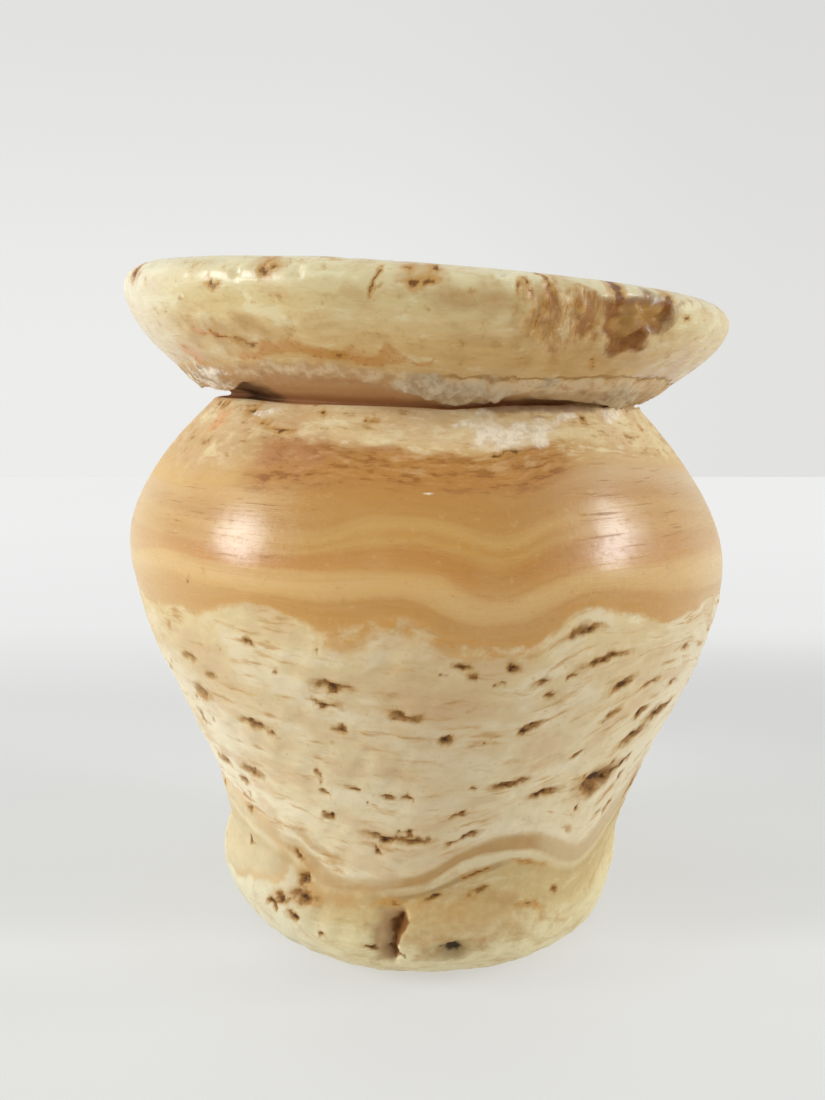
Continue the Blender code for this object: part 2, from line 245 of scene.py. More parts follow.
# Cracks and streaks: azimuth and height of both ends, width and depth
STREAKS = (
    (-7.5, 46, -9.1, 44.5, 0.24, 0.08), (30.2, 46.5, 29.6, 44.2, 0.95, 0.16),
    (30.6, 43.6, 33.2, 42.8, 0.8, 0.08), (33.2, 42.6, 36.5, 43.3, 0.6, 0.08),
    (41.4, 45.9, 39.4, 44.2, 0.6, 0.08), (30.6, 42.5, 33.6, 42.7, 0.24, 0.03),
    (36, 42.6, 38.4, 42.6, 0.22, 0.03), (17, 46.2, 18.2, 45.4, 0.4, 0.1),
    (17.6, 45.6, 17.2, 44.2, 0.24, 0.08), (20.9, 45.6, 20.5, 44.2, 0.2, 0.1),
    (23.6, 45.8, 22.9, 44.6, 0.36, 0.06), (14, 45.9, 15.2, 44.9, 0.22, 0.1),
    (15.4, 44.2, 16.6, 43.3, 0.22, 0.06), (29, 41.9, 30.6, 41.3, 0.2, 0.03),
    (8.4, 8.85, 15.4, 9.5, 0.26, 0.04), (105, 46.2, 107, 43.5, 0.3, 0.06), (-95, 45.8, -90, 44, 0.26, 0.06),
    (-152, 46, -149, 42.5, 0.26, 0.06),
)

# Amber lines and marks, and tan patches: ends and width, or azimuth, height, width and height of the mark
AMBER_LINES = (
    (-37, 41.3, -29.5, 41.6, 0.4), (-30, 41.8, -22.5, 41.95, 0.6), (-22.5, 41.85, -15, 41.5, 0.5),
    (-15, 41.4, -9, 41.1, 0.4), (-44, 42.6, -37, 42.3, 0.35), (118, 41.5, 131, 41.2, 0.5),
)
ORANGE_MARKS = (
    (-51.4, 41.4, 1.4, 1.4), (-28, 41.5, 3, 0.35), (-22, 41.8, 3, 0.45), (-16, 41.6, 3, 0.4),
    (-10, 41.35, 2.8, 0.35), (-4, 41.3, 2.4, 0.25), (-54, 37.3, 1.6, 1.2), (58, 37.5, 0.7, 0.8),
    (120, 41.4, 3, 0.5), (-140, 37.4, 2.5, 0.9), (-160, 6, 3, 1), (110, 5.4, 2.5, 0.9), (35, 44.9, 3, 1),
)
TAN_PATCHES = (
    (-28, 7.7, 5, 1.2), (-30, 10.4, 4, 1.2), (4, 44.7, 6, 1.4), (32, 42.2, 7, 2.8), (-9.5, 6.9, 2.6, 1),
    (14, 6.1, 9.5, 4.2), (-16, 7.3, 10, 1.7), (0, 6.9, 4, 1), (-29, 6.7, 3.6, 1.8), (-36, 42.6, 7, 1.6),
    (-1.8, 45.9, 2.6, 1.3), (7, 44.6, 5, 0.7), (-25.5, 45.8, 1.8, 1.2), (20, 43.6, 6, 4), (30, 42.8, 4, 2),
    (100, 6.5, 8, 2.4), (-150, 5.5, 7, 2), (150, 43, 9, 1.6), (-110, 44, 8, 2), (90, 42, 6, 1.2),
)

# Reddish mauve blotches of the shoulder's stained band
MAUVE_PATCHES = ((-27, 36, 5, 1.8), (-9, 36.3, 4, 0.7), (150, 36, 6, 1.2))

# Radius on the flat top from which the stains and patches of the rim's edge show
MARKS_FROM = 17.8

# White and grey crusts: azimuth, height, width, height of the patch and thickness
CRUSTS = (
    (5, 39.8, 6.4, 1.7, 0.4), (-1, 40.2, 3.2, 1.1, 0.24), (23.5, 40.5, 1.3, 0.4, 0.05),
    (-48, 40.4, 2.4, 0.8, 0.1), (-57, 40.1, 6, 1.6, 0.22), (-76, 40, 4, 1.2, 0.16),
    (46, 39.7, 3.4, 1.5, 0.24), (54, 39.4, 3, 1.2, 0.2), (-0.9, 34.15, 0.8, 0.5, 0.01),
    (30, 38.2, 3, 0.8, 0.06), (17.5, 37.3, 5.8, 1.6, 0.05), (9, 38, 4, 0.7, 0.05),
    (-40, 38, 3.4, 0.8, 0.07), (48, 38.4, 3, 0.8, 0.08), (140, 39.8, 6, 1.3, 0.12),
    (-130, 37.6, 7, 1.6, 0.07), (-165, 40, 4, 1, 0.1),
)

# Upper edge round the pot of the pinkish crust that lines the lower part of the rim
LINING_TOP = (
    (-180, 40.3), (-130, 40.9), (-100, 40.5), (-70, 40.9), (-55, 40.9), (-39, 41.1), (-28, 41.2),
    (-18, 41.2), (-11, 41), (-6, 40.7), (0, 40.5), (13, 40.5), (25, 40.6), (39, 40.9), (55, 40.8),
    (75, 40.5), (120, 41), (150, 40.4),
)

# Lobe and hollow of the foot, flake off the rim, chipped part beside it, and the painted shadow deep in the
# groove
LOBE = (-63, 8.5, 13.0, 7.6)
FLAKES = ((35.8, 44.7, 5.2, 2.6), (33.2, 43.5, 3.4, 2.8))
CHIPPED = (21, 44.2, 5.6, 4.2)
HOLLOW = (9.0, 3.5, 3.2, 1.8)
RECESS_SHADOW = (-47.5, 39.3, 4.2, 1.9)

# How far the lobe stands out, and the broken places go in
LOBE_RELIEF = 0.24
FLAKE_DEPTH = 0.34
CHIPPED_DEPTH = 0.14
HOLLOW_DEPTH = 0.7

# The crease over the foot
CREASE_HEIGHT = 6.9
CREASE_DEPTH = 0.16

# The foot's nick: its deepest line, which leans, and its widths at the bottom and at the top
NICK_AZIMUTH = -7.2
NICK_LEAN = 0.115
NICK_BOTTOM = 2.1
NICK_TOP = 7.0
NICK_LEFT_WIDTHS = (1.3, 2.2)
NICK_RIGHT_WIDTHS = (0.25, 0.5)
NICK_DARK_WIDTHS = (0.1, 0.55)
NICK_DEPTH = 1.5


def smooth(share):
    """0 to 1 with level ends: three squares less two cubes."""
    share = np.clip(share, 0.0, 1.0)
    return share * share * (3.0 - 2.0 * share)


def between(value, low, high, low_fade, high_fade):
    """1 well between two values, falling to 0 at each of them over its fade."""
    return smooth((value - low) / low_fade) * smooth((high - value) / high_fade)


def flowing(t, start, end, rise, start_flare, end_flare):
    """Radius on a cubic from start to end over a rise; a flare is an end's change of radius with height."""
    radius = start * (2 * t**3 - 3 * t**2 + 1) + end * (3 * t**2 - 2 * t**3)
    return radius + rise * (start_flare * (t**3 - 2 * t**2 + t) + end_flare * (t**3 - t**2))


def bend(s, a, b, c, d):
    """Cubic curve from a to d, pulled towards b and then c."""
    return a * (1 - s) ** 3 + 3 * b * s * (1 - s) ** 2 + 3 * c * s**2 * (1 - s) + d * s**3


def round_the_pot(points, azimuth, blur=1.6):
    """A value given at a few azimuths, read in straight lines round the circle and blurred by a bell."""
    circle = np.arange(-180.0, 180.0, CIRCLE_STEP)
    known = np.array(sorted(points), float)
    values = np.interp(circle, known[:, 0], known[:, 1], period=360.0)
    span = np.arange(-BLUR_STEPS, BLUR_STEPS + 1) * CIRCLE_STEP
    bell = np.exp(-0.5 * (span / blur) ** 2)
    around = np.concatenate([values[-BLUR_STEPS:], values, values[:BLUR_STEPS]])
    return np.interp(azimuth, circle, np.convolve(around, bell / bell.sum(), "valid"), period=360.0)


def ripple(points, wavelength, seed, waves=18):
    """Smooth random field of about unit size: sine waves of near that length in random directions."""
    rng = np.random.default_rng(seed)
    directions = rng.normal(size=(waves, 3))
    directions /= np.linalg.norm(directions, axis=1)[:, None]
    lengths = wavelength * rng.uniform(0.7, 1.4, waves)
    phases = rng.uniform(0.0, 2 * np.pi, waves)
    total = np.zeros(points.shape[:-1])
    for direction, length, phase in zip(directions, lengths, phases):
        total += np.sin(points @ direction * (2 * np.pi / length) + phase)
    return total * math.sqrt(2.0 / waves)


def grain(points, wavelength, seed, octaves=3):
    """Rough random field: ripples, each half as long and six tenths as high as the last."""
    return sum(0.6**k * ripple(points, wavelength / 2**k, seed + k) for k in range(octaves))


def turn_between(azimuth, other):
    """Signed angle from other to azimuth."""
    return (azimuth - other + 180.0) % 360.0 - 180.0


def columns():
    """Azimuths of the columns: close together in front, and wider apart by a fourth power behind."""
    u = (np.arange(COLUMNS) + 0.5) / COLUMNS * 2 - 1
    return 180.0 * (FRONT_CLOSENESS * u + (1 - FRONT_CLOSENESS) * u * np.abs(u) ** 3)


def section(azimuth):
    """Radius and height of all rings by columns, each ring's share of wear, and the groove's painted shade
    and dirt.

    In order: flat rest, quarter ellipse, waist, body and shoulder as flowing cubics, the groove as a
    cubic bend between its two edges, the rim as a cubic from the groove's real upper edge, the lip as
    a quarter ellipse, the flat top, and the bore with rounded ends.
    """
    rows = []

    def add(radius, height, wear, cut=0.0):
        flat = np.ones_like(azimuth)[None, :]
        rows.append((radius * flat, height * flat, wear + 0 * radius * flat, cut + 0 * radius * flat))

    def share(count):
        return (np.arange(1, count + 1) / count)[:, None]

    add(REST_RADIUS * share(BASE_RINGS), 0 * share(BASE_RINGS), 0.0)
    a = share(FOOT_RINGS) * math.pi / 2
    add(REST_RADIUS + (FOOT_RADIUS - REST_RADIUS) * np.sin(a), FOOT_HEIGHT * (1 - np.cos(a)), 1.0)
    t = share(WAIST_RINGS)
    rise = WAIST_HEIGHT - FOOT_HEIGHT
    add(flowing(t, FOOT_RADIUS, WAIST_RADIUS, rise, 0, 0), FOOT_HEIGHT + rise * t, 1.0)
    t = share(BODY_RINGS)
    rise = BELLY_HEIGHT - WAIST_HEIGHT
    add(flowing(t, WAIST_RADIUS, BELLY_RADIUS, rise, WAIST_FLARE, 0), WAIST_HEIGHT + rise * t, 1.0)
    t = share(SHOULDER_RINGS)
    t = 1.35 * t - 0.35 * t * t
    rise = SHOULDER_HEIGHT - BELLY_HEIGHT
    shoulder = flowing(t, BELLY_RADIUS, SHOULDER_RADIUS, rise, 0, SHOULDER_FLARE)
    lift = round_the_pot(SHOULDER_EDGE_LIFT, azimuth)[None, :]
    add(shoulder, BELLY_HEIGHT + rise * t + lift * t**4, 1.0)

    edge = round_the_pot(GROOVE_TOP, azimuth, 0.7)[None, :]
    depth = round_the_pot(GROOVE_DEPTHS, azimuth, 2.0)[None, :] * 4 / 3
    rise = LIP_HEIGHT - RIM_EDGE_HEIGHT
    start = (edge - RIM_EDGE_HEIGHT) / rise
    edge_radius = flowing(start, RIM_EDGE_RADIUS, RIM_RADIUS, rise, RIM_FLARE, 0)
    opened = smooth((edge - RIM_EDGE_HEIGHT) / 0.8)
    s = share(GROOVE_RINGS + 1)[:-1]
    wall = edge_radius - depth * (1 - 0.55 * opened)
    radius = bend(s, SHOULDER_RADIUS, SHOULDER_RADIUS - depth, wall, edge_radius)
    height = bend(s, SHOULDER_HEIGHT + lift, SHOULDER_HEIGHT + lift, edge - 0.6 * opened, edge)
    # The groove's darkening, deepest low in it and gone at the rim: partly dirt, partly painted shade
    add(radius, height, GROOVE_WEAR, smooth(s / 0.08) * (1 - smooth((s - 0.25) / 0.75)))
    t = start + (1 - start) * np.concatenate([[[0.0]], share(RIM_RINGS - 1)])
    add(flowing(t, RIM_EDGE_RADIUS, RIM_RADIUS, rise, RIM_FLARE, 0), RIM_EDGE_HEIGHT + rise * t, 1.0)
    a = share(LIP_RINGS) * math.pi / 2
    lip_centre = RIM_RADIUS - LIP_ROUND
    lip_rise = TOP_HEIGHT - LIP_HEIGHT
    add(lip_centre + LIP_ROUND * np.cos(a), LIP_HEIGHT + lip_rise * np.sin(a), 1.0 - share(LIP_RINGS) ** 4)

    mouth = MOUTH_RADIUS + MOUTH_ROUND
    t = share(TOP_RINGS)
    add(lip_centre + (mouth - lip_centre) * t, TOP_HEIGHT + 0 * t, 0.0)
    a = share(MOUTH_RINGS) * math.pi / 2
    mouth_end = TOP_HEIGHT - MOUTH_ROUND
    add(mouth - MOUTH_ROUND * np.sin(a), mouth_end + MOUTH_ROUND * np.cos(a), 0.0)
    t = share(BORE_RINGS)
    bore_end = FLOOR_THICKNESS + FLOOR_ROUND
    add(flowing(t, MOUTH_RADIUS, FLOOR_RADIUS, 1, 0, 0), mouth_end + (bore_end - mouth_end) * t, 0.0)
    a = share(FLOOR_RINGS + 1)[:-1] * math.pi / 2
    add(FLOOR_RADIUS * np.cos(a), bore_end - FLOOR_ROUND * np.sin(a), 0.0)
    return tuple(np.concatenate(part) for part in zip(*rows))


def bed_at(azimuth, height):
    """Height in the layer pattern: straight steps between the beds' real heights at that azimuth."""
    bed = np.zeros(np.broadcast(azimuth, height).shape)
    for (low, low_line), (high, high_line) in zip(BEDS, BEDS[1:]):
        bottom = round_the_pot(low_line, azimuth)
        top = round_the_pot(high_line, azimuth)
        bed = bed + (high - low) * np.clip((height - bottom) / (top - bottom), 0.0, 1.0)
    return bed


def own_height(azimuth, height):
    """The plain height, for marks that follow no bed."""
    return height + 0 * azimuth


def vein_at(azimuth, height):
    """Height in the pattern of pores: level on the left of the front, and as the beds elsewhere."""
    level = between(azimuth, -150, 8, 50, 34)
    bed = bed_at(azimuth, height)
    return bed + level * (height - bed)


def inside(mark, at, level, edge, level_at=bed_at):
    """1 at a mark's middle, 0 on its elliptical edge and less outside, along and across the levels."""
    mark_azimuth, mark_height, width, tall = mark[:4]
    along = np.radians(turn_between(at.azimuth, mark_azimuth)) * at.radius + edge[0]
    across = level - level_at(mark_azimuth, mark_height) + edge[1]
    return np.maximum(1.0 - (2 * along / width) ** 2 - (2 * across / tall) ** 2, FAR_OUTSIDE)


def level_mark(mark, at):
    """The field of a mark that follows no bed."""
    return inside(mark, at, at.height, at.calm_edge, own_height)


def along_streak(streak, at):
    """1 on a straight streak's middle line, 0 on its edge and less outside."""
    azimuth_from, height_from, azimuth_to, height_to, width = streak[:5]
    x = np.radians(turn_between(at.azimuth, azimuth_from)) * at.radius + 0.6 * at.rough_edge[0]
    y = at.height - height_from + 0.6 * at.rough_edge[1]
    end_x = math.radians(azimuth_to - azimuth_from) * at.radius
    end_y = height_to - height_from
    t = np.clip((x * end_x + y * end_y) / (end_x**2 + end_y**2), 0.0, 1.0)
    away = np.hypot(x - t * end_x, y - t * end_y)
    return np.maximum(1.0 - (2 * away / width) ** 2, FAR_OUTSIDE)


def bed_patches(marks, at):
    """The greatest field of several calm-edged patches that follow the beds."""
    return np.maximum.reduce([inside(mark, at, at.bed, at.calm_edge) for mark in marks])


def off_the_top(field, at):
    """A mark's field, faded out towards the middle of the flat top and inside the bore."""
    inner = np.where(at.height > TOP_HEIGHT - 0.01, MARKS_FROM, MOUTH_RADIUS + 0.5)
    return smooth((at.radius - inner) / 1.5) * (field - FAR_OUTSIDE) + FAR_OUTSIDE


def scattered_pits():
    """Small seeded pits in the porous stone: many behind, and only fine pores in front."""
    rng = np.random.default_rng(11)
    pits = []
    for _ in range(SCATTERED_PITS):
        azimuth = rng.uniform(-180, 180)
        height = rng.uniform(*SCATTER_HEIGHTS)
        size = rng.uniform(0.35, 1.0) ** 2 + 0.15
        if abs(azimuth) < FRONT_WITHOUT_SCATTER:
            size *= FRONT_PORE_SIZE
        pits.append((azimuth, height, 1.7 * size, 0.3 + 0.45 * size, 0.15 + 0.4 * size))
    return tuple(pits)


def lean_at(height):
    """Fall of the levels per unit to the right: none at rest, then the body's, the groove's, the top's."""
    body = BODY_LEAN * smooth(height / FOOT_HEIGHT)
    share = smooth((height - BELLY_HEIGHT) / (RIM_EDGE_HEIGHT - BELLY_HEIGHT))
    neck = BODY_LEAN + (GROOVE_LEAN - BODY_LEAN) * share
    share = np.clip((height - RIM_EDGE_HEIGHT) / (TOP_HEIGHT - RIM_EDGE_HEIGHT), 0.0, 1.0)
    rim = GROOVE_LEAN + (TOP_LEAN - GROOVE_LEAN) * share**1.5
    return np.where(height < BELLY_HEIGHT, body, np.where(height < RIM_EDGE_HEIGHT, neck, rim))


def placed(azimuth, radius, height):
    """Points of the turned form, moved to their place in the leaning, hand-cut one."""
    turn = np.radians(azimuth)
    side = np.maximum(0.0, 1.0 - ((height / WAIST_HEIGHT - SHIFT_MIDDLE) / SHIFT_REACH) ** 2) ** 2
    x = radius * np.sin(turn) - FOOT_SIDE_SHIFT * side
    y = -radius * np.cos(turn) + FOOT_SET_BACK * (1.0 - smooth(height / WAIST_HEIGHT))
    return np.stack([x, y, height - lean_at(height) * x], axis=-1)


def closed_grid(name, points):
    """A mesh of quads between rings, joined round, with a point at the middle of each end."""
    rings, count = points.shape[:2]
    ends = [points[0].mean(axis=0), points[-1].mean(axis=0)]
    ends[0][2] = points[0, :, 2].min()
    verts = np.concatenate([points.reshape(-1, 3), ends]) * MM
    low = (np.arange(rings - 1)[:, None] * count + np.arange(count)[None, :]).ravel()
    right = (np.arange(rings - 1)[:, None] * count + (np.arange(count)[None, :] + 1) % count).ravel()
    faces = np.stack([low, right, right + count, low + count], axis=1).tolist()
    first = np.arange(count)
    second = (first + 1) % count
    top = (rings - 1) * count
    bottom_pole = np.full(count, rings * count)
    faces += np.stack([second, first, bottom_pole], axis=1).tolist()
    faces += np.stack([first + top, second + top, bottom_pole + 1], axis=1).tolist()
    mesh = bpy.data.meshes.new(name)
    mesh.from_pydata(verts.tolist(), [], faces)
    mesh.shade_smooth()
    return in_scene(name, mesh)


def in_scene(name, data):
    """A new object of that mesh, lamp or camera."""
    item = bpy.data.objects.new(name, data)
    bpy.context.scene.collection.objects.link(item)
    return item


def keep(item, name, values):
    """Stores a value for each grid point, with the end rings' means at the two poles."""
    attribute = item.data.attributes.new(name, "FLOAT", "POINT")
    flat = np.concatenate([values.ravel(), [values[0].mean(), values[-1].mean()]])
    attribute.data.foreach_set("value", flat.astype(np.float32))


def nick_in(at):
    """Share of the nick's depth cut away and how dark it is: straight walls beside a leaning line."""
    height = at.height
    share = np.clip((height - NICK_BOTTOM) / (NICK_TOP - NICK_BOTTOM), 0.0, 1.0)
    shake = 0.12 * grain(at.spot, 1.5, 16)
    across = np.radians(turn_between(at.azimuth, NICK_AZIMUTH)) * FOOT_RADIUS + shake
    across = across - NICK_LEAN * (height - NICK_BOTTOM)
    widths = (NICK_LEFT_WIDTHS, NICK_RIGHT_WIDTHS, NICK_DARK_WIDTHS)
    left, right, dark = (low + (high - low) * share for low, high in widths)
    walls = np.clip(np.minimum(1 + across / left, 1 - across / right), 0.0, 1.0)
    ends = between(height, NICK_BOTTOM, NICK_TOP, 0.7, 1.6)
    dark = smooth((across + dark + 0.3) / 0.6) * smooth((right + 0.15 - across) / 0.2)
    return ends * walls, dark * between(height, NICK_BOTTOM, NICK_TOP - 0.5, 0.7, 0.9)


def turned_surface():
    """The turned section with each point's outward direction, its place in the stone and edge noises."""
    azimuth = columns()
    radius, height, wear, cut = section(azimuth)
    azimuth = azimuth[None, :] + 0 * radius
    out = np.gradient(height, axis=0)
    up = -np.gradient(radius, axis=0)
    length = np.hypot(out, up) + 1e-9
    bedded = smooth((radius - MOUTH_RADIUS - 1.0) / 6.0)
    spot = placed(azimuth, radius, height)
    return SimpleNamespace(
        azimuth=azimuth, radius=radius, height=height, wear=wear, cut=cut, spot=spot,
        out=out / length, up=up / length,
        bed=height + bedded * (bed_at(azimuth, height) - height),
        vein=height + bedded * (vein_at(azimuth, height) - height),
        rough_edge=(0.13 * grain(spot, 1.2, 1), 0.06 * grain(spot, 1.2, 20)),
        calm_edge=(0.25 * ripple(spot, 2.2, 3) + 0.1 * ripple(spot, 0.8, 23), 0.2 * ripple(spot, 2.0, 4)),
    )


def worn_waves(at):
    """Slow waves and fine unevenness, less on the polished bands, and a grain in the porous stone."""
    even = between(at.bed, 26.5, 36.0, 1.0, 1.0)
    porous = smooth((26.6 - at.bed) / 0.6)
    raised = (1 - 0.7 * even) * (0.045 * ripple(at.spot, 7.0, 5) + 0.01 * ripple(at.spot, 1.8, 6))
    return raised + porous * 0.025 * grain(at.spot * np.array([1.0, 1.0, 1.8]), 1.6, 7)


def press_marks(at, raised):
    """Presses pits, stains and streaks into the surface by their depths; gives the two fields."""
    hole = np.full(raised.shape, FAR_OUTSIDE)
    for pit in PITS + scattered_pits():
        depth = inside(pit, at, at.vein, at.rough_edge, vein_at)
        hole = np.maximum(hole, depth)
        raised -= PIT_RELIEF * pit[4] * smooth(depth * 1.4)
    stain = np.full(raised.shape, FAR_OUTSIDE)
    for mark in STAINS:
        depth = inside(mark, at, at.bed, at.rough_edge)
        stain = np.maximum(stain, depth)
        raised -= mark[4] * smooth(depth)
    for streak in STREAKS:
        depth = along_streak(streak, at)
        stain = np.maximum(stain, depth)
        raised -= streak[5] * smooth(depth)
    return hole, off_the_top(stain, at)


def build_crusts(at, raised):
    """Builds up the lumpy crusts and the thin lining under the rim; gives the two fields."""
    lumps = grain(at.spot, 1.0, 8)
    crust = np.full(raised.shape, FAR_OUTSIDE)
    for patch in CRUSTS:
        depth = inside(patch, at, at.bed, at.calm_edge)
        crust = np.maximum(crust, depth)
        raised += patch[4] * smooth(depth * 1.3) * (0.85 + 0.14 * lumps)
    lined_to = round_the_pot(LINING_TOP, at.azimuth) + 0.08 * grain(at.spot, 1.6, 26)
    on_rim = (at.height > RIM_EDGE_HEIGHT - 0.6) * ((at.cut == 0) | (at.height > RIM_EDGE_HEIGHT + 0.1))
    on_rim = on_rim * (at.radius > MOUTH_RADIUS + 1)
    lining = np.where(on_rim, np.clip(lined_to - at.height, FAR_OUTSIDE, 1.0), FAR_OUTSIDE)
    raised += smooth(lining * 2.5) * (0.06 + 0.03 * lumps)
    return crust, lining


def break_places(at, raised):
    """Lifts the foot's lobe, and cuts the flake, the chipped part, the hollow, the crease and lip chips."""
    lobe_edge = (0.5 * ripple(at.spot, 5.0, 9), 0.3 * ripple(at.spot, 4.0, 10))
    lobe = inside(LOBE, at, at.height, lobe_edge, own_height)
    raised += LOBE_RELIEF * smooth(lobe * 1.4) - 0.07 * smooth(1 - np.abs(lobe) * 3.0)

    flake = np.maximum(*(level_mark(part, at) for part in FLAKES))
    raised -= FLAKE_DEPTH * smooth(flake * 2.5) + 0.12 * smooth(flake * 2) * grain(at.spot, 1.6, 12)
    chipped = level_mark(CHIPPED, at)
    ridges = ripple(at.spot * np.array([1.0, 1.0, 0.25]), 0.9, 13)
    raised -= smooth(chipped * 2) * (CHIPPED_DEPTH + 0.07 * ridges)

    hollow = level_mark(HOLLOW, at)
    raised -= HOLLOW_DEPTH * smooth(hollow * 1.2)
    crease = smooth(1 - np.abs(at.height - CREASE_HEIGHT - 0.5 * ripple(at.spot, 9.0, 14)) / 1.0)
    raised -= CREASE_DEPTH * crease * smooth((70 - np.abs(at.azimuth)) / 20)
    chips = np.maximum(0.0, ripple(at.spot, 1.7, 15) - 1.1)
    lip = smooth(1 - np.abs(at.height - LIP_HEIGHT - 0.9) / 1.0)
    raised -= 0.22 * chips * lip
    return lobe, flake, chipped, hollow


def zones(at):
    """Soft-edged stretches round the pot where the colours differ; some are painted light and shade, as
    marked.
    """
    azimuth, bed, behind = at.azimuth, at.bed, np.abs(at.azimuth)
    left = (1 - smooth((bed - 19) / 3)) * smooth((bed - 9) / 1.5)
    left = left + 1.3 * smooth((bed - 8.2) / 0.6) * (1 - smooth((bed - 10.4) / 0.6))
    left = left * smooth((-30 - azimuth) / 22)
    stained = between(azimuth, -22, 22, 9, 9) + 0.6 * smooth((behind - 100) / 30)
    # Painted shade, partly dirt, on the shoulder just under the groove on the right, where the rim overhangs
    soiled = smooth((at.height - SHOULDER_HEIGHT + 0.45) / 0.6) * (at.height < RIM_EDGE_HEIGHT)
    soiled = soiled * (at.cut == 0)
    return {
        # Warmer, darker front middle: painted shade where the side lamps reach least
        "warm_front": smooth(1 - behind / 16),
        "soiled": soiled * between(azimuth, 9, 48, 6, 10),
        "stripe": between(azimuth, -14, 31, 10, 6),
        "dusty": between(azimuth, -40, 31, 10, 9) + 0.5 * smooth((behind - 110) / 30),
        # Paler flanks: painted sheen where the side lamps fall, on the left only low down
        "flank": left + smooth((azimuth - 38) / 22) * smooth((bed - 8.5) / 1.5),
        "stained_edge": stained * smooth((bed - 24.6) / 1.6) * (1 - smooth((bed - 26.5) / 0.5)),
        # Front left, where the rim's underside over the groove is darker: partly stain, partly painted shade
        "under_rim": between(azimuth, -46, -1, 5, 7),
        "pale_crest": between(azimuth, 28, 110, 16, 30),
        "grey_crest": between(azimuth, -110, -20, 30, 14),
    }


def make_pot():
    """The whole pot: the section turned, worn, pitted, chipped and crusted along its own normals."""
    at = turned_surface()
    raised = worn_waves(at)
    hole, stain = press_marks(at, raised)
    crust, lining = build_crusts(at, raised)
    lobe, flake, chipped, hollow = break_places(at, raised)
    amber = np.maximum.reduce([along_streak(line, at) for line in AMBER_LINES])
    orange = np.maximum(bed_patches(ORANGE_MARKS, at), amber)
    nick, nick_dark = nick_in(at)
    # Painted shadow deep in the slot at the front left
    dark_recess = np.where(at.cut > 0, level_mark(RECESS_SHADOW, at), FAR_OUTSIDE)
    # How dark the groove is coloured, with the recess's painted shadow, faded where crust fills it: partly
    # dirt, partly painted shade
    groove = np.maximum(at.cut, (at.cut > 0) * smooth(dark_recess * 1.5))
    groove = groove * (1 - smooth((np.abs(at.azimuth - 62) - 30) / -10))

    outer = at.radius + at.wear * raised * at.out
    outer = outer - NICK_DEPTH * nick * (at.height > ON_TABLE)
    level = at.height + at.wear * raised * at.up
    level = np.where(at.height < ON_TABLE, at.height, np.maximum(level, LEAST_LIFT))
    pot = closed_grid("kohl_pot_stone", placed(at.azimuth, outer, level))
    fields = {
        "bed": at.bed, "vein": at.vein, "hole": hole, "stain": stain, "orange": off_the_top(orange, at),
        "tan": off_the_top(bed_patches(TAN_PATCHES, at), at), "mauve": bed_patches(MAUVE_PATCHES, at),
        "crust": crust, "lining": lining, "lobe": lobe, "flake": flake, "chipped": chipped, "nick": nick,
        "nick_dark": nick_dark, "hollow": hollow, "groove": groove, "dark_recess": dark_recess, **zones(at),
    }
    for name, values in fields.items():
        keep(pot, name, values)
    return pot


def colour(red, green, blue):
    """Linear colour of a screen colour from 0 to 255."""
    shares = [c / 255.0 for c in (red, green, blue)]
    return tuple(c / 12.92 if c < 0.04045 else ((c + 0.055) / 1.055) ** 2.4 for c in shares) + (1.0,)


class Wire:
    """A socket of a node tree. Adding, multiplying and so on with numbers or other wires adds Math nodes."""

    def __init__(self, tree, socket):
        self.tree = tree
        self.socket = socket

    def maths(self, operation, *values):
        return self.tree.node("ShaderNodeMath", {"operation": operation}, dict(enumerate(values)))

    def __add__(self, other):
        return self.maths("ADD", self, other)

    def __radd__(self, other):
        return self.maths("ADD", other, self)

    def __sub__(self, other):
        return self.maths("SUBTRACT", self, other)

    def __rsub__(self, other):
        return self.maths("SUBTRACT", other, self)

    def __mul__(self, other):
        return self.maths("MULTIPLY", self, other)

    def __rmul__(self, other):
        return self.maths("MULTIPLY", other, self)

    def __truediv__(self, other):
        return self.maths("DIVIDE", self, other)

    def __rtruediv__(self, other):
        return self.maths("DIVIDE", other, self)

    def step(self, low, high):
        """0 where the value is at low, 1 where it is at high, with level ends."""
        inputs = {"Value": self, "From Min": low, "From Max": high}
        return self.tree.node("ShaderNodeMapRange", {"interpolation_type": "SMOOTHSTEP"}, inputs)

    def within(self, low, full_from, full_to, high):
        """1 where the value is inside a range, 0 below low and above high."""
        return self.step(low, full_from) * (1 - self.step(full_to, high))


